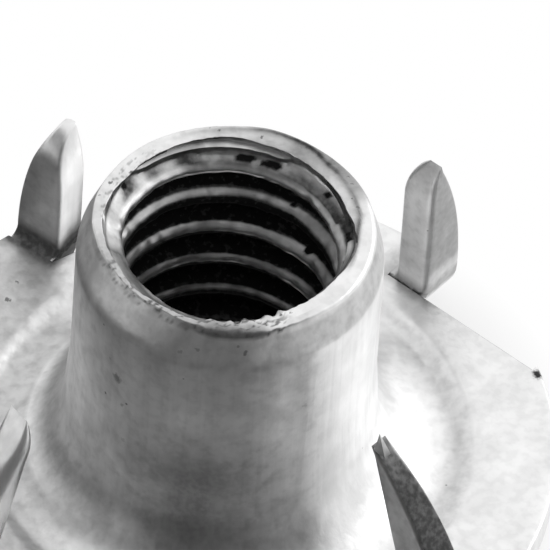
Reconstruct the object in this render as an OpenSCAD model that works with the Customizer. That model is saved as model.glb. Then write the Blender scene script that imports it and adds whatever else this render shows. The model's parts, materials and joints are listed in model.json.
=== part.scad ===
// Four-prong tee nut: a round flange with a threaded barrel drawn up from its
// middle, and four prongs cut from the flange and folded up beside the barrel.
// Millimetres. The origin is the middle of the flange's underside, with the
// barrel and the prongs pointing up along +Z.

/* [Barrel] */
// Height from the underside of the flange to the mouth of the barrel
nut_h = 11.1; // [10.6:0.1:12.5]
// Outside diameter of the barrel, which sets the hole drilled for it
barrel_d = 9.6; // [9.4:0.1:9.8]
// Diameter of the plain bore that the thread's crests stand on
bore_d = 6.74; // [6.5:0.02:7]
// Diameter of the mouth's outer edge, where the taper ends
mouth_d = 8.8; // [8.5:0.1:9]
// Radius that rounds the mouth's outer edge
mouth_edge_r = 0.2; // [0.1:0.05:0.25]
// Diameter of the mouth's inner edge, where the countersink begins
mouth_bore_d = 7.8; // [7.4:0.1:8]
// Length of the taper below the mouth
taper_l = 1.2; // [1:0.1:2]
// Radius of the sweep from the barrel into the flange
root_r = 2.3; // [1.8:0.1:2.4]

/* [Flange] */
// Diameter of the flange
flange_d = 21.4; // [21:0.1:22.5]
// Thickness of the flange and of the prongs
sheet_t = 1.25; // [1:0.05:1.4]
// Diameter of the ring where the flange steps down towards the barrel
ring_d = 15.1; // [14.9:0.1:15.3]
// Height of that step
ring_h = 0.2; // [0.1:0.05:0.3]

/* [Prongs] */
// Distance of the slits from the axis of the barrel
slit_at = 8.94; // [8.8:0.02:9.1]
// How far the fold line lies behind the middle of the slit
fold_back = 0.5; // [0.3:0.1:1]
// Inside radius of the fold
fold_r = 0.3; // [0.2:0.05:0.5]
// Radius of a prong's outer edge, which was the flange's rim
prong_edge_r = 12.5; // [12:0.1:13.5]
// Radius that narrows a prong on the slit side near its tip
slit_edge_r = 6; // [5:0.5:8]
// Radius that blunts the point of a prong
point_r = 0.8; // [0.7:0.05:1]

/* [Hidden] */
$fn = 96;
OVER = 0.5;

flange_r = flange_d / 2;
barrel_r = barrel_d / 2;
bore_r = bore_d / 2;
mouth_r = mouth_d / 2;
mouth_bore_r = mouth_bore_d / 2;

// The flange inside the ring is coined a little thinner
dish_t = sheet_t - ring_h;
ring_in = ring_d / 2 - ring_h;
ring_out = ring_d / 2 + ring_h;

// The arc of the mouth's outer edge meets the taper and the flat of the mouth
taper_a = atan2(barrel_r - mouth_r, taper_l);
mouth_edge_x = mouth_r - mouth_edge_r * (1 - sin(taper_a)) / cos(taper_a);
mouth_edge_z = nut_h - mouth_edge_r;

// The barrel is drawn with a little draft below its straight length
straight_z = 5.6;
draft = 0.12;
root_z = dish_t + root_r;
root_x = barrel_r + draft + root_r;
countersink_l = 0.55;
rim_r = 0.08;
lead_r = 1.15;

fold_z = sheet_t + fold_r;
// The slit side of a prong starts to narrow this far below the point
slit_edge_l = 2.2;
point_x = 0.55;
// Where an arc runs on from a flat, it starts this far outside it, so that the
// two cross instead of only touching
NUDGE = 0.02;

// Length of a fold line, which runs out from the slit and stops short of the rounded
// edge of the rim
function fold_l(twist) =
    let (
        along = slit_at * cos(twist) + fold_back * sin(twist),
        start = pow(slit_at, 2) + pow(fold_back, 2)
    )
    sqrt(pow(along, 2) - start + pow(flange_r, 2)) - along - 1.5 * rim_r;

// Each prong was folded a little differently: angle round the barrel, twist
// about the vertical at the slit, lean of the blade towards the barrel, height
// above the underside of the flange that its edges are aimed at, and radius of
// the curve that takes its inner face over to the point
PRONGS = [
    [52.6, 0, 0, 7.55, 2.6],
    [126.2, 19.5, 0, 6.2, 1.4],
    [222, 0, 16, 7.4, 1.5],
    [320, 0, 17.5, 9.4, 20],
];

// Section of the flange and barrel on one side of the axis
module half_section() {
    difference() {
        union() {
            // flange outside the ring
            translate([bore_r, 0]) square([flange_r - rim_r - bore_r, sheet_t]);
            translate([bore_r, 0]) square([flange_r - bore_r, sheet_t - rim_r]);
            translate([flange_r - rim_r, sheet_t - rim_r]) circle(rim_r);
            // barrel wall: draft, straight length, taper
            polygon([
                [bore_r, 0],
                [root_x, 0],
                [root_x, dish_t],
                [barrel_r + draft, root_z],
                [barrel_r, straight_z],
                [barrel_r, nut_h - taper_l],
                [
                    mouth_edge_x + mouth_edge_r * cos(taper_a),
                    mouth_edge_z + mouth_edge_r * sin(taper_a)
                ],
                [mouth_edge_x, nut_h],
                [mouth_bore_r, nut_h],
                [bore_r, nut_h - countersink_l],
            ]);
            translate([mouth_edge_x, mouth_edge_z]) circle(mouth_edge_r);
        }
        // step down inside the ring
        polygon([
            [root_x, dish_t],
            [ring_in, dish_t],
            [ring_out, sheet_t],
            [ring_out, sheet_t + OVER],
            [root_x, sheet_t + OVER],
        ]);
        // sweep between barrel and flange
        intersection() {
            translate([root_x, root_z]) circle(root_r);
            square([root_x, root_z]);
        }
        // rounded lead into the bore, left by the drawing of the barrel
        difference() {
            translate([bore_r - OVER, -OVER]) square([lead_r + OVER, lead_r + OVER]);
            translate([bore_r + lead_r, lead_r]) circle(lead_r);
        }
    }
}

module flange_and_barrel() {
    rotate_extrude() half_section();
}

// Frame of one prong: x runs out along the fold line, y = 0 is the fold line,
// and the finger lay towards -y before it was folded up
module at_prong(p) {
    rotate(p[0]) translate([slit_at, fold_back, 0]) rotate(p[1]) children();
}

// Room left in the flange where one finger was cut out
module notch(p) {
    at_prong(p) {
        translate([0, 0, -OVER]) linear_extrude(sheet_t + 2 * OVER) intersection() {
            rotate(-p[1]) translate([0, -flange_r]) square([flange_r, 2 * flange_r]);
            translate([-flange_r, -flange_r]) square([2 * flange_r, flange_r]);
        }
    }
}

// A disc that trims only what lies above its middle
module cap(r, x, z) {
    translate([x, z]) {
        circle(r);
        translate([-2 * flange_r, -2 * flange_r]) square([4 * flange_r, 2 * flange_r]);
    }
}

// Outline of a blade of width w and height h, its slit side on x = 0
module blade_outline(w, h) {
    intersection() {
        square([w, h]);
        cap(prong_edge_r, w + NUDGE - prong_edge_r, fold_z);
        cap(slit_edge_r, slit_edge_r - NUDGE, h - slit_edge_l);
        cap(point_r, point_x, h - point_r);
    }
}

// Upright plate whose inner face is on the fold's inside radius. Its foot stays
// on the fold when the plate leans, and the inner face rounds over to the point.
module blade(w, lean, h, nose_r) {
    nose_l = sqrt(pow(nose_r, 2) - pow(nose_r - sheet_t, 2));
    intersection() {
        translate([0, -fold_r, 0]) rotate([90, 0, 0]) linear_extrude(sheet_t)
            intersection() {
                translate([0, fold_z]) rotate(lean) translate([0, -fold_z]) blade_outline(w, h);
                polygon([[-h, fold_z], [w, fold_z], [w, h], [-h, h]]);
            }
        translate([h, -fold_r - nose_r + NUDGE, h - nose_l]) rotate([0, -90, 0])
            linear_extrude(2 * h) cap_side(nose_r, h);
    }
}

// A disc that trims only what lies beyond its middle along +x
module cap_side(r, l) {
    circle(r);
    translate([-2 * l, -2 * l]) square([2 * l, 4 * l]);
}

// Quarter turn of sheet between flange and blade
module fold(w) {
    translate([0, 0, fold_z]) rotate([0, 90, 0]) rotate([0, 0, -90])
        rotate_extrude(angle = 90) translate([fold_r, 0]) square([sheet_t, w]);
}

module prong(p) {
    w = fold_l(p[1]);
    at_prong(p) {
        fold(w);
        blade(w, p[2], p[3], p[4]);
    }
}

module tee_nut() {
    color("silver") {
        difference() {
            flange_and_barrel();
            for (p = PRONGS) notch(p);
        }
        for (p = PRONGS) prong(p);
    }
}

tee_nut();
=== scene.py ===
"""Four-prong tee nut in zinc-plated steel: the cut thread, the sheared mouth, the
drawn barrel, the coined flange and its four folded prongs, as one closed mesh."""

import json
import math

import bmesh
import bpy
import numpy as np
from mathutils import Matrix, Vector


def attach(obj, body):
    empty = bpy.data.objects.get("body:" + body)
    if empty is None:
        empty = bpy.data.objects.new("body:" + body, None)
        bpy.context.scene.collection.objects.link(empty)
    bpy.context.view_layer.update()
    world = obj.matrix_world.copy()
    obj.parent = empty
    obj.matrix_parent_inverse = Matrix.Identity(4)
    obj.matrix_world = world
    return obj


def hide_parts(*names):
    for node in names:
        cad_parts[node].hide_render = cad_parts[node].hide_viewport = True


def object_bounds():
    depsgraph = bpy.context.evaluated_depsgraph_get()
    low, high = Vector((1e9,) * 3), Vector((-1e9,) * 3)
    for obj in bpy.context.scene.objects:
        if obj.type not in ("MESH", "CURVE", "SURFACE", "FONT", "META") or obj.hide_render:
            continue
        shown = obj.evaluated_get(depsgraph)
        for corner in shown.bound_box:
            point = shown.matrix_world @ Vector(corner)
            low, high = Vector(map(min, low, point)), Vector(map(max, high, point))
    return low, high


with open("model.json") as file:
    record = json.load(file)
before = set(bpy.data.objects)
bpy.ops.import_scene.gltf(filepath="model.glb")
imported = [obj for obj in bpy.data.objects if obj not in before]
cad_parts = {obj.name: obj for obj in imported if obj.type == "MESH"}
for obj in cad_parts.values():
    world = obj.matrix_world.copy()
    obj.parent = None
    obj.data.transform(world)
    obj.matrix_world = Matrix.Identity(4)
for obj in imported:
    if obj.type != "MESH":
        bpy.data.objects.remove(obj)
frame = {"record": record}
cad_low, cad_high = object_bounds()

# ---------------------------------------------------------------- sizes, millimetres
MM = 0.001
MOUNTS = {m["name"]: m for m in frame["record"]["mounts"]}

NUT_H = cad_high.z / MM
CREST_R = MOUNTS["thread"]["dims"]["r_mm"]
BARREL_R = MOUNTS["barrel"]["dims"]["r_mm"]
SHEET_T = MOUNTS["seat"]["pos_m"][2] / MM
FLANGE_R = 10.7

# thread
PITCH = 25.4 / 18
THREAD_DEPTH = 0.57
# a crest stands at this height on this side of the bore
CREST_Z = 9.96
CREST_ANGLE = 90.0
# depth of the groove at distances from the middle of a crest
GROOVE = [
    (0, 0),
    (0.05, 0.004),
    (0.10, 0.025),
    (0.15, 0.06),
    (0.21, 0.115),
    (0.26, 0.17),
    (0.31, 0.235),
    (0.36, 0.31),
    (0.41, 0.385),
    (0.47, 0.475),
    (0.53, 0.54),
    (0.59, 0.57),
    (0.66, THREAD_DEPTH),
    (PITCH / 2, THREAD_DEPTH),
]
# the thread ends this high above the underside, in the bore's rounded lead
THREAD_LOW = 0.16
LEAD_R = 1.15

# mouth, as it was sheared: angle round the barrel, inner and outer radius
LIP = [
    (4, 3.82, 4.45),
    (18, 3.66, 4.44),
    (45, 3.60, 4.40),
    (75, 3.65, 4.42),
    (95, 3.80, 4.30),
    (130, 3.77, 4.34),
    (150, 3.80, 4.32),
    (165, 3.93, 4.36),
    (180, 4.02, 4.32),
    (195, 3.97, 4.22),
    (210, 3.90, 4.12),
    (225, 3.99, 4.13),
    (240, 3.95, 4.12),
    (255, 4.00, 4.22),
    (268, 3.88, 4.36),
    (285, 3.80, 4.38),
    (300, 3.75, 4.36),
    (330, 3.76, 4.44),
    (345, 3.88, 4.45),
    (355, 3.92, 4.45),
]
# radius that rounds the mouth's outer edge
MOUTH_ROUND = [
    (20, 0.16),
    (55, 0.30),
    (100, 0.22),
    (160, 0.12),
    (210, 0.06),
    (250, 0.07),
    (266, 0.24),
    (280, 0.22),
    (295, 0.08),
]
# how the mouth's inner edge is broken: distances out from it and down
LIP_BREAK = [(0.03, 0), (0.008, 0.012), (0, 0.04)]
# height of the upright edge inside the mouth, and how much of it is worn away
MOUTH_LAND = 0.12
LAND_WORN = 0.08
# the last turn above the first crest is cut less deep, which leaves a narrow ledge
LEDGE_FROM, LEDGE_TO, LEDGE_FADE = 60, 148, 12
LEDGE_DEPTH = 0.41
LEDGE_BELOW, LEDGE_ABOVE = 0.3, 0.70
COUNTERSINK = 0.5

# barrel and flange
TAPER_L = 1.2
SHOULDER_L = 0.5
STRAIGHT_Z = 5.6
DRAFT = 0.12
ROOT_R = 2.3
# ring where the flange steps down, which lies off centre and is wider on that side
RING_R, RING_HALF, RING_H = 7.6, 0.35, 0.2
RING_SHIFT, RING_GROWTH = 0.17, 0.03
DISH_T = SHEET_T - RING_H
RIM_LOW_R = 0.28
RIM_TOP_R = 0.1
# the bore's wall lies within the first radius, and the barrel's outside beyond the other
WALL_R, SHELL_R = 4.0, 4.15

# stretches of angle round the nut: starts, full from, full to, gone by
WORN_LAND = (150, 178, 215, 240)
TORN_FRONT = (190, 250, 295, 312)
RAGGED_FRONT = (240, 256, 292, 302)
LIT_WALL_SIDE = (104, 122, 190, 202)
MOUTH_SHADE = (82, 92, 140, 152)
RING_SHADE = (-100, -60, 20, 60)
SWEEP_SHADE = (132, 152, 225, 250)
BARREL_SHADE = (150, 180, 300, 325)
SPECKLED_FRONT = (180, 215, 292, 302)

# unevenness of the surface: how high it stands and how wide its lumps are
SHELL_LUMPS = (0.012, 3.0)
FACE_LUMPS = (0.012, 3.5)
CREST_LUMPS = (0.02, 0.5)
BORE_LUMPS = (0.012, 0.22)
# torn face of the mouth: how deep and how wide its lumps are, size of rougher areas
TORN_DEPTH, TORN_SIZE, TORN_AREA = 0.02, 0.16, 1.1
# ragged inner edge of the mouth: how far all round, how much more in front, how wide
RAGGED_ALL, RAGGED_MORE, RAGGED_SIZE = 0.035, 0.065, 0.2

# painted shade darkens the bore and leaves a painted highlight band on each crest: height
# of the crest, middle of the band above it, half the band's height, how bright it is
BANDS = [
    (2.9, 0.15, 0.05, 0.15),
    (4.3, 0.16, 0.05, 1.0),
    (5.7, 0.13, 0.09, 1.0),
    (7.1, 0.15, 0.12, 1.0),
    (8.5, 0.29, 0.07, 0.6),
    (9.9, 0.07, 0.14, 1.0),
]
# a crest's band starts this share of a turn below it
BAND_BELOW = 0.08
# crests above this height are the first one under the mouth
FIRST_CREST = 9.7
# how much painted highlight lightens the bore's painted shade above the first crest, by angle
RUN_OUT = [
    (15, 0.8),
    (45, 0.8),
    (60, 0.7),
    (75, 0.9),
    (90, 1.0),
    (105, 0.7),
    (120, 0.9),
    (140, 0.9),
    (200, 0.6),
    (270, 0.3),
    (330, 0.5),
]
# black patches in the bore: angle, height, half of each size
PATCHES = [
    (86, 10.30, 6.5, 0.10),
    (73, 10.24, 6.5, 0.10),
    (109, 11.02, 2.0, 0.07),
    (60, 8.80, 2.0, 0.06),
    (57, 7.50, 5.0, 0.20),
    (48, 7.35, 3.0, 0.18),
    (40, 10.20, 2.5, 0.07),
    (31, 10.60, 2.5, 0.08),
    (25, 10.25, 2.0, 0.10),
    (31, 9.10, 2.5, 0.12),
    (153, 10.70, 2.5, 0.07),
    (164, 10.88, 2.0, 0.06),
]
# line where the sheared face of the mouth breaks away, which is painted dark as shade in
# its step: angle, radius, how dark the face is inside it, on it and outside it
CREASE = [
    (0, 3.90, 0.45, 0.80, 0.0),
    (15, 4.04, 0.20, 0.70, 0.05),
    (30, 4.06, 0.20, 0.62, 0.50),
    (45, 4.08, 0.40, 0.86, 0.65),
    (60, 4.26, 0.60, 0.95, 0.60),
    (75, 4.26, 0.35, 0.80, 0.50),
    (90, 4.15, 0.25, 0.50, 0.15),
    (105, 4.10, 0.15, 0.30, 0.10),
    (125, 4.10, 0.0, 0.0, 0.0),
    (175, 4.10, 0.10, 0.10, 0.10),
    (200, 4.10, 0.35, 0.25, 0.25),
    (255, 4.10, 0.40, 0.40, 0.40),
    (268, 4.13, 0.40, 0.65, 0.75),
    (282, 4.18, 0.20, 0.55, 0.70),
    (292, 4.25, 0.05, 0.10, 0.20),
    (300, 4.10, 0.0, 0.0, 0.0),
    (335, 3.95, 0.0, 0.0, 0.0),
    (350, 3.90, 0.45, 0.70, 0.0),
]
# how dark the painted shade on the shell is, and the specks and the sheared edge
TONES = {
    "ring": 0.2,
    "flange_left": 0.27,
    "sweep": 0.52,
    "taper_right": 0.27,
    "taper_front": 0.3,
    "barrel_foot": 0.6,
    "barrel_side": 0.07,
    "mouth_specks": 0.75,
    "sheared_edge": 0.6,
}
# radius of the painted shade in the sweep, and half its width
SWEEP_R, SWEEP_HALF = 5.4, 0.48
# pits in the top of the flange and in the face of the mouth: x, y, radius
FLANGE_PITS = [
    (-6.98, 5.14, 0.10),
    (-6.71, 1.04, 0.12),
    (-6.71, 5.94, 0.07),
    (-5.77, 3.25, 0.07),
]
MOUTH_PITS = [
    (-0.94, 4.17, 0.06),
    (-0.62, 4.03, 0.05),
    (0.73, 3.86, 0.06),
    (3.48, 2.47, 0.07),
    (3.62, 2.19, 0.05),
    (3.65, 1.56, 0.05),
    (3.85, 1.20, 0.05),
    (-4.18, 0.95, 0.05),
    (-3.85, 1.50, 0.07),
    (-3.25, 2.01, 0.05),
    (1.70, -3.50, 0.06),
    (1.97, -3.35, 0.05),
]
PIT_TONE = 0.75
# pits and spots elsewhere: x, y, z, radius and how dark
PITS = [
    (-4.02, -2.43, 8.95, 0.07, 0.75),
    (-3.58, -3.20, 6.57, 0.05, 0.75),
    (-5.61, 0.68, 1.30, 0.06, 0.75),
    (-5.18, -0.08, 1.75, 0.07, 0.75),
    (9.95, 3.55, SHEET_T, 0.17, 0.95),
    (-3.22, -3.56, 7.71, 0.18, 0.6),
    (0.68, -4.56, 10.42, 0.08, 0.55),
    (0.45, -4.50, 10.66, 0.05, 0.45),
    (-1.32, -4.48, 10.16, 0.07, 0.4),
    (-0.80, -4.52, 10.36, 0.07, 0.4),
    (-2.92, -3.82, 5.13, 0.10, 0.35),
    (-3.02, -3.73, 6.66, 0.08, 0.4),
    (-3.48, -3.31, 8.34, 0.06, 0.4),
    (2.64, -4.02, 7.59, 0.10, 0.35),
    (-5.19, -0.86, 2.14, 0.08, 0.4),
]
PITS += [(x, y, SHEET_T, radius, PIT_TONE) for x, y, radius in FLANGE_PITS]
PITS += [(x, y, NUT_H, radius, PIT_TONE) for x, y, radius in MOUTH_PITS]

# prongs: where they are slit and folded
SLIT_AT = 8.94
FOLD_BACK = 0.5
FOLD_R = 0.3
# a fold stops this far short of the rim
FOLD_STOP = 0.1
# angle round the barrel, twist, lean, height that the edges are aimed at, radius that
# rounds the inner face over, radius of the edge between slit and outer face, radius
# of the other edges
PRONGS = {
    "right_back": (52.6, 0, 0, 7.55, 2.6, 0.3, 0.15),
    "left_back": (126.2, 19.5, 0, 6.2, 1.4, 0.13, 0.13),
    "left_front": (222, 0, 16, 7.4, 1.5, 0.5, 0.5),
    "right_front": (320, 0, 17.5, 9.4, 20, 0.13, 0.13),
}
# painted shade on a prong's faces, by which way they face: slit edge, rim edge, inner face, outer face
FACE_SHADES = {
    "right_back": (0.28, 0.2, 0.2, 0.5),
    "left_back": (0.0, 0.1, 0.15, 0.15),
    "left_front": (0.0, 0.0, 0.0, 0.0),
    "right_front": (0.3, 0.82, 0.3, 0.3),
}
# how dark the painted shade in the fillet at its foot is
FILLET_SHADE = {"right_back": 0.4, "left_back": 0.85, "left_front": 0.2, "right_front": 0.4}
PRONG_EDGE_R = 12.5
SLIT_EDGE_R = 6.0
SLIT_EDGE_L = 2.2
POINT_R = 0.8
POINT_X = 0.55
# thickness left at the very point
POINT_T = 0.03
# root of a prong inside the flange: sections, as how far they lie within the sheet and
# behind the fold, and how much narrower they are
ROOT = [(0.12, 0.35), (0.03, 0.12)]
ROOT_INSET = 0.02
# a prong is this much slimmer than the flange where they join, so no faces coincide
CLEAR = 0.004

# burr left standing on one prong: foot and tip in the prong's frame, width
BURRS = {"right_front": ((-1.5, -1.40, 7.3), (-1.6, -1.48, 8.15), 0.45)}

# columns of the turned mesh, and steps in which a prong's outline is searched
COLUMNS = 320
OUTLINE_STEPS = 4001


# ---------------------------------------------------------------- small tools
def unit(v):
    return v / np.linalg.norm(v)


def smooth(a, b, x):
    """0 below a, 1 above b and a smooth rise between them."""
    t = np.clip((x - a) / (b - a), 0, 1)
    return t * t * (3 - 2 * t)


def plateau(stretch, x):
    """1 along a stretch, which rises over its first two values and falls over its last."""
    a, b, c, d = stretch
    return smooth(a, b, x) * (1 - smooth(c, d, x))


def bell(x, middle, half):
    """1 in the middle, falling away smoothly on both sides."""
    return np.exp(-(((x - middle) / half) ** 2))


def steps(count):
    """That many even steps up to 1, without the 0 that they start from."""
    return np.linspace(0, 1, count + 1)[1:]


def signed(degrees):
    """The same angle, between -180 and 180."""
    return (degrees + 180) % 360 - 180


def polar(x, y):
    """Distance from the axis, and angle round it from 0 to 360."""
    return np.hypot(x, y), np.degrees(np.arctan2(y, x)) % 360


def rotated(x, y, degrees):
    c, s = math.cos(math.radians(degrees)), math.sin(math.radians(degrees))
    return x * c - y * s, x * s + y * c


def waves(points, size, seed, count=12):
    """Even, smooth noise of about -1 to 1, in lumps of about that size."""
    rng = np.random.default_rng(seed)
    total = np.zeros(len(points))
    for _ in range(count):
        direction = unit(rng.normal(size=3))
        length = size * rng.uniform(1.2, 2.6)
        total += np.sin(points @ direction * (2 * math.pi / length) + rng.uniform(0, 6.28))
    return total / math.sqrt(count)


def around(knots, column, degrees):
    """A value given at some angles, smoothly joined all the way round."""
    angles = np.array([k[0] for k in knots], float)
    values = np.array([k[column] for k in knots], float)
    angles = np.concatenate([angles, angles[:1] + 360])
    values = np.concatenate([values, values[:1]])
    a = (degrees - angles[0]) % 360 + angles[0]
    i = np.clip(np.searchsorted(angles, a, side="right") - 1, 0, len(angles) - 2)
    t = smooth(0, 1, (a - angles[i]) / (angles[i + 1] - angles[i]))
    return values[i] * (1 - t) + values[i + 1] * t


def arc(cx, cz, r, start, end, count):
    """Points on an arc of the section, from one angle to another."""
    return [(cx + r * math.cos(a), cz + r * math.sin(a)) for a in np.radians(np.linspace(start, end, count))]


# ---------------------------------------------------------------- the turned form
theta_deg = np.linspace(0, 360, COLUMNS + 1)
theta = np.radians(theta_deg)
lip_in = around(LIP, 1, theta_deg)
lip_out = around(LIP, 2, theta_deg)
mouth_round = around(MOUTH_ROUND, 1, theta_deg)
ring_mid = RING_R + RING_SHIFT * np.cos(theta)
ring_half = RING_HALF + RING_GROWTH * np.cos(theta)
taper_z = NUT_H - TAPER_L
taper_slope = (BARREL_R - lip_out) / TAPER_L


def mouth_land(degrees):
    """Height of the upright edge inside the mouth, which is worn away on the left."""
    return MOUTH_LAND - LAND_WORN * plateau(WORN_LAND, degrees)


def turns_up(degrees, z):
    """Turns of the thread from its highest crest up to this height."""
    return (z - CREST_Z) / PITCH - (degrees - CREST_ANGLE) / 360


def wall_radius(degrees, z):
    """Radius of the bore's wall: thread, countersink above and lead below."""
    turns = turns_up(degrees, z)
    knots, depths = zip(*GROOVE)
    depth = np.interp(np.abs(turns - np.round(turns)) * PITCH, knots, depths)
    # the shallow last turn, which leaves the ledge
    last = (turns * PITCH > LEDGE_BELOW) & (turns * PITCH < LEDGE_ABOVE)
    along = plateau((LEDGE_FROM, LEDGE_FROM + LEDGE_FADE, LEDGE_TO - LEDGE_FADE, LEDGE_TO), degrees)
    most = THREAD_DEPTH + (LEDGE_DEPTH - THREAD_DEPTH) * along
    r = CREST_R + np.where(last, np.minimum(depth, most), depth)
    inner = around(LIP, 1, degrees)
    slope = (inner - CREST_R) / COUNTERSINK
    land = mouth_land(degrees)
    cone = inner - (NUT_H - land - z) * slope
    r = np.where(last & (along > 0.5), r, np.maximum(r, cone))
    r = np.where(z > NUT_H - land, np.minimum(r, inner), r)
    lead = LEAD_R - np.sqrt(np.maximum(LEAD_R**2 - np.maximum(LEAD_R - z, 0) ** 2, 0))
    return np.maximum(r, CREST_R + lead)


def row(r, z):
    """A row of the grid. A radius or height given once holds all the way round."""
    return r + 0 * theta, z + 0 * theta


def underside_rows():
    """Rows from the foot of the bore, round the lead, under the flange and up its rim."""
    lead_x = CREST_R + LEAD_R
    low_angle = math.degrees(math.asin((LEAD_R - THREAD_LOW) / LEAD_R))
    edge = FLANGE_R - RIM_LOW_R
    outline = arc(lead_x, LEAD_R, LEAD_R, 180 + low_angle, 270, 6)[1:]
    outline += [(r, 0) for r in np.linspace(lead_x, edge, 9)[1:-1]]
    outline += arc(edge, RIM_LOW_R, RIM_LOW_R, 270, 360, 6)
    outline += [(FLANGE_R, z) for z in np.linspace(RIM_LOW_R, SHEET_T - RIM_TOP_R, 5)[1:-1]]
    outline += arc(FLANGE_R - RIM_TOP_R, SHEET_T - RIM_TOP_R, RIM_TOP_R, 0, 90, 5)
    return [row(r, z) for r, z in outline]


def flange_rows():
    """Rows in from the rim over the flange's top, and down the step at the ring."""
    outer = FLANGE_R - RIM_TOP_R
    rows = [row(outer + (ring_mid + ring_half - outer) * t, SHEET_T) for t in steps(14)]
    for t in steps(8):
        rows.append(row(ring_mid + ring_half * (1 - 2 * t), SHEET_T - RING_H * smooth(0, 1, t)))
    return rows


def barrel_rows():
    """Rows up the sweep, the drafted and the straight wall, and the shoulder."""
    rows = []
    root_x = BARREL_R + DRAFT + ROOT_R
    root_z = DISH_T + ROOT_R
    inner = ring_mid - ring_half
    for t in steps(21):
        a = math.radians(270 - 90 * t)
        x, z = root_x + ROOT_R * math.cos(a), root_z + ROOT_R * math.sin(a)
        rows.append(row(x + (inner - root_x) * (1 - t) ** 3, z))
    for t in steps(6):
        rows.append(row(BARREL_R + DRAFT * (1 - smooth(0, 1, t)), root_z + (STRAIGHT_Z - root_z) * t))
    for z in np.linspace(STRAIGHT_Z, taper_z - SHOULDER_L / 2, 10)[1:]:
        rows.append(row(BARREL_R, z))
    for t in steps(5):
        x = BARREL_R - taper_slope * SHOULDER_L * 0.5 * t * t
        rows.append(row(x, taper_z + SHOULDER_L * (t - 0.5)))
    return rows


def mouth_rows():
    """Rows up the taper, round its outer edge and in over the face of the mouth."""
    rows = []
    low = SHOULDER_L / 2
    high = TAPER_L - mouth_round
    for t in steps(8):
        along = low + (high - low) * t
        rows.append(row(BARREL_R - taper_slope * along, taper_z + along))
    edge_x = BARREL_R - taper_slope * high
    for t in steps(6):
        a = math.pi / 2 * t
        x = edge_x - mouth_round * (1 - math.cos(a)) - taper_slope * mouth_round * math.sin(a) * (1 - t)
        rows.append(row(x, NUT_H - mouth_round * (1 - math.sin(a))))
    face_out = rows[-1][0]
    face_in = lip_in + LIP_BREAK[0][0]
    rows += [row(face_out + (face_in - face_out) * t, NUT_H) for t in steps(10)]
    return rows + [row(lip_in + out, NUT_H - down) for out, down in LIP_BREAK[1:]]


def thread_rows():
    """Rows that climb with the thread, so that its edges stay crisp. Where a row
    would leave the thread it lies on the level edge instead, and is welded to it."""
    knots = [k / PITCH for k, _ in GROOVE]
    # the side of a crest that faces down needs only every second row
    phases = knots[:-1:2] + [1 - k for k in knots[-2:0:-1]]
    top = NUT_H - LIP_BREAK[-1][1]
    turns = math.ceil((top - THREAD_LOW) / PITCH) + 2
    rows = []
    for turn in range(turns):
        for phase in phases:
            crest = CREST_Z + 2 * PITCH - PITCH * (turn + phase)
            z = np.clip(crest + PITCH * (theta_deg - CREST_ANGLE) / 360, THREAD_LOW, top)
            rows.append(row(wall_radius(theta_deg, z), z))
    return rows


def weather(points):
    """Points shifted by the small unevenness of a pressed and tumbled part."""
    x, y, z = points.T
    r, degrees = polar(x, y)
    outward = np.stack([x / r, y / r, np.zeros_like(r)], 1)
    shift = np.zeros_like(points)

    def lumps(kind, seed):
        height, size = kind
        return height * waves(points, size, seed)

    # the shell is not quite round, and its face not quite flat
    outside = r > SHELL_R
    shift += outward * (lumps(SHELL_LUMPS, 1) * smooth(2.0, 4.0, z) * outside)[:, None]
    shift[:, 2] += lumps(FACE_LUMPS, 2) * (np.abs(z - SHEET_T) < 0.3) * outside

    # torn texture of the sheared mouth
    mouth = smooth(NUT_H - 0.3, NUT_H - 0.02, z)
    torn = 0.35 + 0.65 * plateau(TORN_FRONT, degrees)
    torn = torn * (0.6 + 0.4 * waves(points, TORN_AREA, 3))
    shift[:, 2] -= mouth * TORN_DEPTH * torn * (1 + waves(points, TORN_SIZE, 4))
    inner_edge = 1 - smooth(WALL_R - 0.1, SHELL_R, r)
    ragged = (RAGGED_ALL + RAGGED_MORE * plateau(RAGGED_FRONT, degrees)) * waves(points, RAGGED_SIZE, 5)
    shift += outward * (mouth * ragged * inner_edge * torn)[:, None]

    # the thread's crests are worn unevenly
    wall = (r < WALL_R) * (z < NUT_H - COUNTERSINK)
    crest = 1 - smooth(CREST_R + 0.02, CREST_R + 0.2, r)
    shift += outward * (lumps(CREST_LUMPS, 6) * wall * crest)[:, None]
    shift += outward * (lumps(BORE_LUMPS, 7) * wall)[:, None]
    return points + shift


def turned_mesh():
    """The flange and barrel as a closed mesh, before the notches are cut."""
    grid = np.array(underside_rows() + flange_rows() + barrel_rows() + mouth_rows() + thread_rows())
    r, z = grid[:, 0], grid[:, 1]
    points = np.stack([r * np.cos(theta), r * np.sin(theta), z], -1).reshape(-1, 3)
    here = np.arange(r.size).reshape(r.shape)
    above = np.roll(here, -1, 0)
    quads = np.stack([here[:, :-1], here[:, 1:], above[:, 1:], above[:, :-1]], -1).reshape(-1, 4)
    return welded("turned", weather(points), quads.tolist())


def welded(name, points, faces):
    """A mesh object in metres, with meeting points joined and empty faces dropped."""
    mesh = bpy.data.meshes.new(name)
    mesh.from_pydata((points * MM).tolist(), [], faces)
    bm = bmesh.new()
    bm.from_mesh(mesh)
    bmesh.ops.remove_doubles(bm, verts=bm.verts, dist=0.0002 * MM)
    bmesh.ops.dissolve_degenerate(bm, edges=bm.edges, dist=0.00001 * MM)
    bmesh.ops.recalc_face_normals(bm, faces=bm.faces)
    bm.to_mesh(mesh)
    bm.free()
    obj = bpy.data.objects.new(name, mesh)
    bpy.context.scene.collection.objects.link(obj)
    return obj


# ---------------------------------------------------------------- prongs
def place(points, name):
    """Moves points from a prong's own frame, with x along its fold, to the nut's."""
    angle, twist = PRONGS[name][:2]
    x, y = rotated(points[:, 0], points[:, 1], twist)
    x, y = rotated(x + SLIT_AT, y + FOLD_BACK, angle)
    return np.stack([x, y, points[:, 2]], -1)


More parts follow.
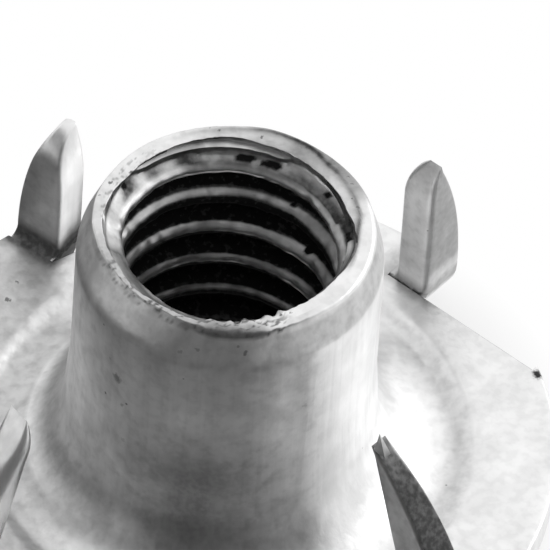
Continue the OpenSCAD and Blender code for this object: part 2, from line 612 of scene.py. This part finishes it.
def fold_length(twist):
    a = math.radians(twist)
    along = SLIT_AT * math.cos(a) + FOLD_BACK * math.sin(a)
    start = SLIT_AT**2 + FOLD_BACK**2
    return math.sqrt(along**2 - start + FLANGE_R**2) - along - FOLD_STOP


def blade_span(name, z):
    """The prong's left and right edges at height z, where it stands on its fold."""
    twist, lean, height = PRONGS[name][1:4]
    width = fold_length(twist)
    fold_z = SHEET_T + FOLD_R
    x = np.linspace(-height, width + 0.5, OUTLINE_STEPS)
    across, up = rotated(x, z - fold_z, -lean)
    up = up + fold_z

    def under_cap(radius, cx, cz):
        return (up < cz) | ((across - cx) ** 2 + (up - cz) ** 2 < radius**2)

    inside = (across > 0) & (across < width) & (x < width)
    inside &= under_cap(PRONG_EDGE_R, width - PRONG_EDGE_R, fold_z) | (across < width - PRONG_EDGE_R)
    inside &= under_cap(SLIT_EDGE_R, SLIT_EDGE_R, height - SLIT_EDGE_L) | (across > SLIT_EDGE_R)
    inside &= under_cap(POINT_R, POINT_X, height - POINT_R)
    if not inside.any():
        return None
    return x[inside].min(), x[inside].max()


def rounded_section(x0, x1, y0, y1, slit_r, edge_r):
    """Points round a rectangle with rounded corners, the same number every time."""
    most = 0.45 * min(x1 - x0, y1 - y0)
    slit_r, edge_r = min(slit_r, most), min(edge_r, most)
    corners = [
        arc(x1 - edge_r, y1 - edge_r, edge_r, 0, 90, 5),
        arc(x0 + edge_r, y1 - edge_r, edge_r, 90, 180, 5),
        arc(x0 + slit_r, y0 + slit_r, slit_r, 180, 270, 5),
        arc(x1 - edge_r, y0 + edge_r, edge_r, 270, 360, 5),
    ]
    points = []
    for here, following in zip(corners, corners[1:] + corners[:1]):
        points += here
        last, first = np.array(here[-1]), np.array(following[0])
        points += [tuple(last + (first - last) * t) for t in (0.25, 0.5, 0.75)]
    return points


def fold_sections(width, slit_r, edge_r):
    """Sections of a prong out of the flange and round its fold."""
    sections = []
    for inset, y in ROOT:
        sides = (ROOT_INSET, width - ROOT_INSET, inset - SHEET_T, -inset)
        ring = rounded_section(*sides, slit_r, edge_r)
        sections.append([(x, y, SHEET_T + t) for x, t in ring])
    ring = rounded_section(0, width, -FOLD_R - SHEET_T + CLEAR, -FOLD_R - CLEAR, slit_r, edge_r)
    for a in np.radians(np.linspace(0, 90, 10)):
        sections.append([(x, t * math.sin(a), SHEET_T + FOLD_R + t * math.cos(a)) for x, t in ring])
    return sections


def blade_sections(name):
    """Sections up a prong's blade, closer together towards the point."""
    height, nose_r, slit_r, edge_r = PRONGS[name][3:]
    fold_z = SHEET_T + FOLD_R
    nose_l = math.sqrt(nose_r**2 - (nose_r - SHEET_T) ** 2)
    outer_y = -FOLD_R - SHEET_T
    tops = np.linspace(fold_z, height, OUTLINE_STEPS // 2 + 1)
    tall = max(z for z in tops[:-1] if blade_span(name, z))
    sections = []
    for t in np.sin(np.linspace(0, math.pi / 2, 34))[1:]:
        z = fold_z + (tall - fold_z) * t
        left, right = blade_span(name, z)
        over = max(z - height + nose_l, 0)
        inner_y = -FOLD_R - nose_r + math.sqrt(nose_r**2 - over**2)
        ring = rounded_section(left, right, outer_y, max(inner_y, outer_y + POINT_T), slit_r, edge_r)
        sections.append([(x, y, z) for x, y in ring])
    return sections


def prong_mesh(name):
    """A prong as a closed mesh, from a root inside the flange to its point."""
    _, twist, *_, slit_r, edge_r = PRONGS[name]
    sections = fold_sections(fold_length(twist), slit_r, edge_r) + blade_sections(name)
    per = len(sections[0])
    points = np.array(sections).reshape(-1, 3)
    faces = [list(range(per))[::-1], [len(points) - per + i for i in range(per)]]
    for start in range(0, len(points) - per, per):
        for i in range(per):
            j = (i + 1) % per
            faces.append([start + i, start + j, start + per + j, start + per + i])
    return welded("prong_" + name, weather(place(points, name)), faces)


def burr_mesh(name):
    """A thin burr that stands on the end of a prong."""
    foot, tip, wide = (np.array(v) for v in BURRS[name])
    ring = [(-0.5, -0.3), (0.5, -0.3), (0.5, 0.3), (-0.5, 0.3)]
    points = [foot + (a * wide, b * wide, 0) for a, b in ring] + [tip]
    faces = [[3, 2, 1, 0]] + [[k, (k + 1) % 4, 4] for k in range(4)]
    return welded("burr_" + name, place(np.array(points), name), faces)


def notch_cutter(name):
    """The room left by a prong, a little wider above and below so that edges break."""
    twist = math.radians(PRONGS[name][1])
    far, over, edge = 6.0, 0.5, 0.05
    # the slit keeps its own line when the fold is twisted
    along = np.array([1.0, 0.0])
    down = np.array([-math.sin(twist), -math.cos(twist)])
    side = np.array([-math.cos(twist), math.sin(twist)])
    outline = [0 * along, along * far, (along + down) * far, down * far]
    points = []
    for z, grow in ((-over, over + edge), (edge, 0), (SHEET_T - edge, 0), (SHEET_T + over, over)):
        for corner, p in enumerate(outline):
            points.append((*(p + side * grow if corner in (0, 3) else p), z))
    faces = [[3, 2, 1, 0], [12, 13, 14, 15]]
    for a in (0, 4, 8):
        faces += [[a + k, a + (k + 1) % 4, a + 4 + (k + 1) % 4, a + 4 + k] for k in range(4)]
    return welded("notch_" + name, place(np.array(points), name), faces)


def combine(target, tool, operation):
    """Joins the tool to the target or cuts it out, and deletes the tool."""
    modifier = target.modifiers.new(operation.lower(), "BOOLEAN")
    modifier.operation = operation
    modifier.object = tool
    modifier.solver = "MANIFOLD"
    depsgraph = bpy.context.evaluated_depsgraph_get()
    mesh = bpy.data.meshes.new_from_object(target.evaluated_get(depsgraph))
    target.modifiers.clear()
    old, tool_mesh = target.data, tool.data
    target.data = mesh
    bpy.data.objects.remove(tool)
    bpy.data.meshes.remove(old)
    bpy.data.meshes.remove(tool_mesh)


def nut_body():
    """The whole nut as one closed mesh."""
    body = turned_mesh()
    body.name = "tee_nut_body"
    for name in PRONGS:
        combine(body, notch_cutter(name), "DIFFERENCE")
    for name in PRONGS:
        prong = prong_mesh(name)
        if name in BURRS:
            combine(prong, burr_mesh(name), "UNION")
        combine(body, prong, "UNION")
    body.data.shade_smooth()
    body.data.set_sharp_from_angle(angle=math.radians(38))
    return body


# ---------------------------------------------------------------- dirt and painted shade
def highlight_bands(degrees, above, crest):
    """The painted highlight on each crest, wider on the right and brightest at its lower edge."""
    heights, *columns = np.array(BANDS).T
    middle, half, unshaded = (np.interp(crest, heights, column) for column in columns)
    half = half * (1 + 0.5 * (1 - smooth(48, 75, degrees)) * (crest < FIRST_CREST))
    unshaded = unshaded * (1 - 0.25 * smooth(-half, half, above - middle))
    return unshaded * (1 - smooth(half - 0.04, half + 0.05, np.abs(above - middle)))


def run_out_highlight(degrees, above):
    """The wall over the first crest, where the thread runs out, with less painted shade."""
    run_out = around(RUN_OUT, 1, degrees) * smooth(0.56, 0.66, above)
    gap = (0.42 - 0.12 * (1 - smooth(55, 70, degrees))) * smooth(0.15, 0.3, above)
    gap = gap + (0.85 - gap) * smooth(0.38, 0.5, above)
    return np.maximum(run_out, gap)


def side_highlight(degrees, above, z):
    """Painted highlight in streaks on the wall on the left, over the bright first crest."""
    streaks = waves(np.stack([degrees / 20, z, 0 * z], 1), 0.3, 8)
    level = 0.42 + 0.3 * smooth(165, 182, degrees) + 0.15 * streaks
    return level + (1 - level) * (1 - smooth(0.16, 0.3, above))


def ledge_highlight(degrees, above):
    """The painted highlight along the ledge."""
    line = bell(above - LEDGE_ABOVE, 0.01, 0.07)
    line = line * plateau((LEDGE_FROM, LEDGE_FROM + 15, LEDGE_TO - 5, LEDGE_TO + 5), degrees)
    return line * (0.6 + 0.4 * smooth(98, 110, degrees))


def bore_painted_shade(degrees, z):
    """Painted shade in the bore, from 0 to 1. Painted highlights lighten it on the crests and near the
    mouth.
    """
    turns = turns_up(degrees, z)
    above = ((turns + BAND_BELOW) % 1 - BAND_BELOW) * PITCH
    crest = z - above
    # the wall over the first crest, which comes up to the mouth on the left
    first = smooth(285, 310, degrees) * smooth(FIRST_CREST + 0.05, FIRST_CREST + 0.25, z)
    first = np.maximum(first, smooth(FIRST_CREST - 0.1, FIRST_CREST + 0.1, crest))
    unshaded = np.maximum(highlight_bands(degrees, above, crest), first * run_out_highlight(degrees, above))
    # the wall on the left gets a streaked painted highlight
    side = first * plateau(LIT_WALL_SIDE, degrees)
    unshaded = np.maximum(unshaded * (1 - side), side * side_highlight(degrees, above, z))
    unshaded = np.maximum(unshaded, first * ledge_highlight(degrees, above))
    shade = smooth(NUT_H - 0.13, NUT_H - 0.09, z) * plateau(MOUTH_SHADE, degrees)
    return 1 - np.clip(unshaded * (1 - 0.75 * shade), 0, 1)


def bore_patches(degrees, z):
    """The black patches in the bore."""
    dirt_and_shade = np.zeros_like(z)
    for angle, height, wide, tall in PATCHES:
        away = np.hypot(signed(degrees - angle) / wide, (z - height) / tall)
        dirt_and_shade = np.maximum(dirt_and_shade, 1 - smooth(0.7, 1.1, away))
    return dirt_and_shade


def mouth_shade_and_tone(degrees, r):
    """Tone of the mouth's face, darkest in a line of painted shade where the sheared metal broke away."""
    away = r - around(CREASE, 1, degrees)
    side = np.where(away < 0, around(CREASE, 2, degrees), around(CREASE, 4, degrees))
    line = bell(away, 0, np.where(away < 0, 0.13, 0.07))
    return side + (around(CREASE, 3, degrees) - side) * line


def torn_specks(points, r, degrees):
    """Specks on the torn front of the mouth, and fewer on the left of its inner edge."""
    beside = 0.6 * (r < SHELL_R) * smooth(125, 145, degrees) * (degrees < 180)
    where = plateau(SPECKLED_FRONT, degrees) + beside
    return TONES["mouth_specks"] * where * smooth(0.0, 0.8, waves(points, 0.1, 9))


def flange_painted_shade(x, r, z, degrees):
    """Painted shade on the right of the ring, over the left of the flange and in the sweep on the left."""
    above_dish = z > DISH_T - 0.15
    top = above_dish * (z < SHEET_T + 0.05)
    ring = TONES["ring"] * top * bell(r, RING_R, RING_HALF) * plateau(RING_SHADE, signed(degrees))
    # painted shade over the left of the flange, the side away from the lamp
    left = TONES["flange_left"] * top * smooth(-4.0, -6.0, x)
    foot = above_dish * (z < 4.5) * bell(r, SWEEP_R, SWEEP_HALF)
    sweep = TONES["sweep"] * foot * plateau(SWEEP_SHADE, degrees)
    return np.maximum.reduce([ring, left, sweep])


def barrel_painted_shade(r, z, degrees):
    """Painted shade on the taper, on the foot of the front and, lightly, on the shaded side, where it also
    lets the blotches show.
    """
    right = TONES["taper_right"] * (1 - smooth(35, 55, np.abs(signed(degrees - 330))))
    front = TONES["taper_front"] * bell(degrees, 236, 18)
    taper = plateau((taper_z - 0.1, taper_z + 0.1, NUT_H - 0.25, NUT_H - 0.15), z)
    taper = taper * (r > 4.2) * (right + front)
    low = smooth(8.0, 4.4, z) * (z > SHEET_T) * (r > 4.2) * (1 - smooth(5.0, 6.4, r))
    low = TONES["barrel_foot"] * low * bell(degrees, 262, 30)
    side = TONES["barrel_side"] * smooth(2.0, 3.0, z) * (r > 4.12) * (r < 5.6)
    return np.maximum.reduce([taper, low, side * plateau(BARREL_SHADE, degrees)])


def prong_painted_shade(points, normals, name):
    """Painted shade on a prong's faces, by which way each faces, and in the fillet at its foot."""
    angle, twist = PRONGS[name][:2]
    x, y = rotated(points[:, 0], points[:, 1], -angle)
    x, y = rotated(x - SLIT_AT, y - FOLD_BACK, -twist)
    z = points[:, 2]
    nx, ny = rotated(normals[:, 0], normals[:, 1], -angle - twist)
    reach = smooth(-0.5, 0.0, x) + (z > SHEET_T + 0.6) * (x > -3.2)
    near = (y > -2.2) * (y < 0.9) * np.minimum(reach, 1) * (x < 4)
    shade_by_face = zip(FACE_SHADES[name], (-nx, nx, ny, -ny))
    face = np.maximum.reduce([face_shade * smooth(0.3, 0.8, facing) for face_shade, facing in shade_by_face])
    # less painted shade where the slit edge meets the outer face
    face = face * (1 - 0.6 * smooth(0.3, 0.65, -nx) * smooth(0.3, 0.65, -ny))
    face = face * smooth(SHEET_T + 0.5, SHEET_T + 1.2, z)
    foot = bell(z - SHEET_T, 0.1, 0.4) * (1 - smooth(0.0, 0.8, y)) * (z > SHEET_T - 0.05)
    return near * np.maximum(face, FILLET_SHADE[name] * foot)


def read_all(items, name, kind, width=1):
    """One property of every point, corner or face of a mesh, as an array."""
    values = np.empty(len(items) * width, kind)
    items.foreach_get(name, values)
    return values.reshape(-1, width) if width > 1 else values


def sheared_corners(mesh):
    """Which face corners lie on the sheared edge of a notch, just under the top."""
    normal = read_all(mesh.polygons, "normal", float, 3)
    x, y, z = read_all(mesh.polygons, "center", float, 3).T / MM
    far = np.hypot(x, y)
    sheared = (np.abs(normal[:, 2]) < 0.85) & (far > 8.3) & (far < FLANGE_R - 0.1)
    sheared &= (z < SHEET_T) & (z > SHEET_T - 0.1)
    return np.repeat(sheared, read_all(mesh.polygons, "loop_total", np.int32))


def paint(mesh):
    """Writes how much dirt and painted shade each corner of each face has, from 0 to 1."""
    points = read_all(mesh.vertices, "co", float, 3) / MM
    normals = read_all(mesh.vertices, "normal", float, 3)
    x, y, z = points.T
    r, degrees = polar(x, y)
    inside = (r < around(LIP, 1, degrees) + 0.02) & (z < NUT_H - 0.02)
    inside |= (r < CREST_R + THREAD_DEPTH + 0.06) & (z < NUT_H - mouth_land(degrees))
    # painted shade in the bore, with its painted highlights and black patches
    bore = np.maximum(bore_painted_shade(degrees, z), bore_patches(degrees, z))
    mouth = smooth(NUT_H - 0.3, NUT_H - 0.15, z)
    shell = [mouth * mouth_shade_and_tone(degrees, r), mouth * torn_specks(points, r, degrees)]
    shell += [flange_painted_shade(x, r, z, degrees), barrel_painted_shade(r, z, degrees)]
    shell += [prong_painted_shade(points, normals, name) for name in PRONGS]
    dirt_and_shade = np.where(inside, bore, np.maximum.reduce(shell))

    # the attribute holds dirt and painted shade together
    values = dirt_and_shade[read_all(mesh.loops, "vertex_index", np.int32)]
    # the sheared edge beside each prong is darker than the faces that it joins
    values[sheared_corners(mesh)] = TONES["sheared_edge"]
    attribute = mesh.attributes.new("dirt_and_shade", "FLOAT", "CORNER")
    attribute.data.foreach_set("value", values.astype(np.float32))


# ---------------------------------------------------------------- material
class Nodes:
    """Short forms for the nodes of a material or a world."""

    def __init__(self, owner):
        owner.use_nodes = True
        self.nodes = owner.node_tree.nodes
        self.link = owner.node_tree.links.new

    def new(self, kind, **inputs):
        """A node, with its inputs set to numbers or joined to other nodes."""
        node = self.nodes.new(kind)
        for name, value in inputs.items():
            self.fill(node.inputs[name.replace("_", " ")], value)
        return node

    def fill(self, socket, value):
        if isinstance(value, bpy.types.NodeSocket):
            self.link(value, socket)
        else:
            socket.default_value = value

    def coords(self):
        return self.new("ShaderNodeTexCoord").outputs["Object"]

    def noise(self, scale, detail, stretch=(1, 1, 1)):
        mapping = self.new("ShaderNodeMapping", Vector=self.coords(), Scale=stretch)
        place = mapping.outputs["Vector"]
        return self.new("ShaderNodeTexNoise", Vector=place, Scale=scale, Detail=detail).outputs["Fac"]

    def remap(self, value, low, high, to_low=0.0, to_high=1.0, kind="SMOOTHSTEP"):
        ends = {"From_Min": low, "From_Max": high, "To_Min": to_low, "To_Max": to_high}
        node = self.new("ShaderNodeMapRange", Value=value, **ends)
        node.interpolation_type = kind
        return node.outputs["Result"]

    def math(self, operation, a, b):
        node = self.new("ShaderNodeMath")
        node.operation = operation
        self.fill(node.inputs[0], a)
        self.fill(node.inputs[1], b)
        return node.outputs["Value"]

    def distance(self, place, middle):
        node = self.new("ShaderNodeVectorMath")
        node.operation = "DISTANCE"
        self.link(place, node.inputs[0])
        node.inputs[1].default_value = middle
        return node.outputs["Value"]


def zinc_tone(m, drawn):
    """Bright zinc, mottled and drawn out along the barrel."""
    mottle = m.remap(m.noise(900, 4), 0.3, 0.7, 0.82, 0.92)
    tone = m.math("MULTIPLY", mottle, m.remap(drawn, 0.35, 0.6, 0.93, 1.0))
    return m.new("ShaderNodeCombineColor", Red=tone, Green=tone, Blue=tone).outputs["Color"]


def painted_dirt_and_shade(m):
    """The painted dirt and shade, broken up by a fine grain and, where it is light, by blotches."""
    painted = m.new("ShaderNodeAttribute")
    painted.attribute_name = "dirt_and_shade"
    amount = painted.outputs["Fac"]
    dirt_and_shade = m.math("MULTIPLY", amount, m.remap(m.noise(5000, 3), 0.3, 0.7, 0.97, 1.1))
    blotches = m.remap(m.noise(2600, 2), 0.4, 0.75, 0, 0.13)
    blotches = m.math("MULTIPLY", blotches, m.remap(amount, 0.02, 0.06))
    blotches = m.math("MULTIPLY", blotches, m.remap(amount, 0.3, 0.6, 1, 0))
    return m.math("ADD", dirt_and_shade, blotches)


def specks(m):
    """Scattered specks, one in some cells of about a millimetre."""
    cells = m.new("ShaderNodeTexVoronoi", Vector=m.coords(), Scale=1100)
    chance = m.new("ShaderNodeSeparateColor", Color=cells.outputs["Color"]).outputs["Red"]
    size = m.remap(chance, 0.5, 1.0, 0.0, 0.07)
    return m.remap(m.math("SUBTRACT", size, cells.outputs["Distance"]), -0.02, 0.02, 0, 0.7)


def with_pits(m, dirt_and_shade):
    """The dirt and painted shade with single pits, whose edges are ragged."""
    coords = m.coords()
    jitter = m.remap(m.noise(9000, 2), 0.3, 0.7, -0.04 * MM, 0.04 * MM)
    for x, y, z, radius, dark in PITS:
        away = m.math("ADD", m.distance(coords, (x * MM, y * MM, z * MM)), jitter)
        dirt_and_shade = m.math("MAXIMUM", dirt_and_shade, m.remap(away, 0.4 * radius * MM, 1.5 * radius * MM, dark, 0))
    return m.math("MINIMUM", dirt_and_shade, 1.0)


def zinc_material():
    material = bpy.data.materials.new("zinc_steel")
    m = Nodes(material)
    shader = m.nodes["Principled BSDF"]
    shader.inputs["Specular IOR Level"].default_value = 0.2
    drawn = m.noise(3200, 2, stretch=(1, 1, 0.04))
    dirt_and_shade = with_pits(m, m.math("MAXIMUM", painted_dirt_and_shade(m), specks(m)))

    mix = m.new("ShaderNodeMix")
    mix.data_type = "RGBA"
    unshaded, black, mixed = mix.inputs[6], mix.inputs[7], mix.outputs[2]
    m.fill(mix.inputs["Factor"], dirt_and_shade)
    m.fill(unshaded, zinc_tone(m, drawn))
    m.fill(black, (0.004, 0.004, 0.004, 1))
    m.fill(shader.inputs["Base Color"], mixed)
    m.fill(shader.inputs["Metallic"], m.remap(dirt_and_shade, 0.85, 1.0, 1, 0))
    rough = m.remap(m.noise(1500, 3), 0.3, 0.7, 0.34, 0.44)
    m.fill(shader.inputs["Roughness"], m.math("MAXIMUM", rough, m.remap(dirt_and_shade, 0.5, 1.0, 0.3, 0.8)))

    height = m.math("ADD", m.noise(6000, 3), m.remap(drawn, 0.3, 0.7, 0, 0.5))
    bump = m.new("ShaderNodeBump", Strength=0.25, Distance=0.02 * MM, Height=height)
    m.fill(shader.inputs["Normal"], bump.outputs["Normal"])
    return material


nut = nut_body()
paint(nut.data)
nut.data.materials.clear()
nut.data.materials.append(zinc_material())
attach(nut, "root")
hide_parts("tee_nut")


# ---------------------------------------------------------------- floor and light
# size of the floor, and how far it lies under the nut so that they don't coincide
FLOOR_SIZE, FLOOR_DROP = 1200, 0.02
# the floor's glow is dimmed near the nut as a painted shadow, and comes back between these distances from
# the nut's axis
GLOW_FROM, GLOW_TO = 10.0, 11.8
# shares of full brightness: the floor's glow in its painted shadow under the nut, the world as a light
GLOW_IN_SHADOW, WORLD_LIGHT = 0.65, 0.7


def seen_rays(m):
    """1 for rays that show the background: camera, glossy and transmission rays."""
    path = m.new("ShaderNodeLightPath").outputs
    seen = m.math("MAXIMUM", path["Is Camera Ray"], path["Is Glossy Ray"])
    return m.math("MAXIMUM", seen, path["Is Transmission Ray"])


def matt_material(name, grey, roughness):
    material = bpy.data.materials.new(name)
    material.use_nodes = True
    shader = material.node_tree.nodes["Principled BSDF"]
    shader.inputs["Base Color"].default_value = (grey, grey, grey, 1)
    shader.inputs["Roughness"].default_value = roughness
    return material


def rectangle(name, width, height, material):
    """A flat sheet of that many millimetres, which faces along its own z."""
    mesh = bpy.data.meshes.new(name)
    w, h = width * MM / 2, height * MM / 2
    mesh.from_pydata([(-w, -h, 0), (w, -h, 0), (w, h, 0), (-w, h, 0)], [], [(0, 1, 2, 3)])
    mesh.materials.append(material)
    sheet = bpy.data.objects.new(name, mesh)
    bpy.context.scene.collection.objects.link(sheet)
    return sheet


def make_floor():
    """White paper, just under the nut, whose glow is dimmed beneath and around it as a painted shadow, in
    which its real shadow also shows.
    """
    material = matt_material("white_paper", 0.9, 0.9)
    m = Nodes(material)
    away = m.distance(m.coords(), (0, 0, 0))
    shadowed_glow = m.remap(away, GLOW_FROM * MM, GLOW_TO * MM, GLOW_IN_SHADOW, 1.0, kind="LINEAR")
    blend = m.new("ShaderNodeMixShader")
    m.fill(blend.inputs["Fac"], m.math("MULTIPLY", seen_rays(m), shadowed_glow))
    m.fill(blend.inputs[1], m.nodes["Principled BSDF"].outputs[0])
    m.fill(blend.inputs[2], m.new("ShaderNodeEmission").outputs[0])
    m.fill(m.nodes["Material Output"].inputs["Surface"], blend.outputs[0])
    floor = rectangle("floor", FLOOR_SIZE, FLOOR_SIZE, material)
    floor.location.z = -FLOOR_DROP * MM


def make_world():
    world = bpy.data.worlds.new("studio")
    bpy.context.scene.world = world
    m = Nodes(world)
    background = m.nodes["Background"]
    background.inputs["Color"].default_value = (1, 1, 1, 1)
    m.fill(background.inputs["Strength"], m.remap(seen_rays(m), 0, 1, WORLD_LIGHT, 1.0, kind="LINEAR"))


def aim(obj, place_mm, target_mm):
    """Puts an object in its place and points its -Z axis at the target."""
    obj.location = Vector(place_mm) * MM
    direction = Vector(target_mm) * MM - obj.location
    obj.rotation_euler = direction.to_track_quat("-Z", "Y").to_euler()


def softbox(name, place_mm, target_mm, size_mm, radiance):
    light = bpy.data.lights.new(name, "AREA")
    light.shape = "RECTANGLE"
    light.size, light.size_y = size_mm[0] * MM, size_mm[1] * MM
    light.energy = radiance * math.pi * light.size * light.size_y
    obj = bpy.data.objects.new(name, light)
    bpy.context.scene.collection.objects.link(obj)
    aim(obj, place_mm, target_mm)


def flag(name, place_mm, target_mm, size_mm, grey):
    """A dark card that keeps the white surroundings out of the metal's shaded side."""
    card = rectangle(name, *size_mm, matt_material(name, grey, 1))
    aim(card, place_mm, target_mm)
    # only the metal sees it, so it throws no shadow on the floor
    card.visible_camera = card.visible_diffuse = card.visible_shadow = False


make_floor()
make_world()
softbox("key", (70, 40, 45), (0, 0, 5), (60, 60), 1.7)
flag("front", (15, -72, 68), (15, 0, 68), (200, 166), 0.17)
flag("left", (-62, -25, 77), (0, -25, 77), (110, 76), 0.3)
flag("left_low", (-62, -25, 5), (0, -25, 5), (110, 12), 0.3)
flag("floor_left", (-32, -22, -0.01), (-32, -22, -10), (60, 90), 0.15)
flag("floor_front", (9, -38.5, -0.01), (9, -38.5, -10), (22, 57), 0.15)


# ---------------------------------------------------------------- camera
ELEVATION = math.radians(48)
ROLL = math.radians(4)
DISTANCE = 400.0
LOOK_AT = (1.43, 0.0, 9.05)
PIXELS_PER_MM = 32.2
IMAGE = 550
# row of the picture that the camera's axis meets
CENTRE_Y = 274.5
SENSOR = 36.0


def make_camera():
    """A long lens at the photograph's height and roll."""
    data = bpy.data.cameras.new("camera")
    data.sensor_width = SENSOR
    data.lens = PIXELS_PER_MM * DISTANCE / IMAGE * SENSOR
    data.clip_start, data.clip_end = 0.01, 10
    data.shift_y = (CENTRE_Y - IMAGE / 2) / IMAGE
    camera = bpy.data.objects.new("camera", data)
    bpy.context.scene.collection.objects.link(camera)
    bpy.context.scene.camera = camera
    right = Vector((1, 0, 0))
    forward = Vector((0, math.cos(ELEVATION), -math.sin(ELEVATION)))
    up = right.cross(forward)
    rolled_right = right * math.cos(ROLL) + up * math.sin(ROLL)
    rolled_up = up * math.cos(ROLL) - right * math.sin(ROLL)
    turn = Matrix((rolled_right, rolled_up, -forward)).transposed()
    position = (Vector(LOOK_AT) - forward * DISTANCE) * MM
    camera.matrix_world = Matrix.Translation(position) @ turn.to_4x4()


make_camera()
bpy.context.scene.view_settings.view_transform = "Standard"
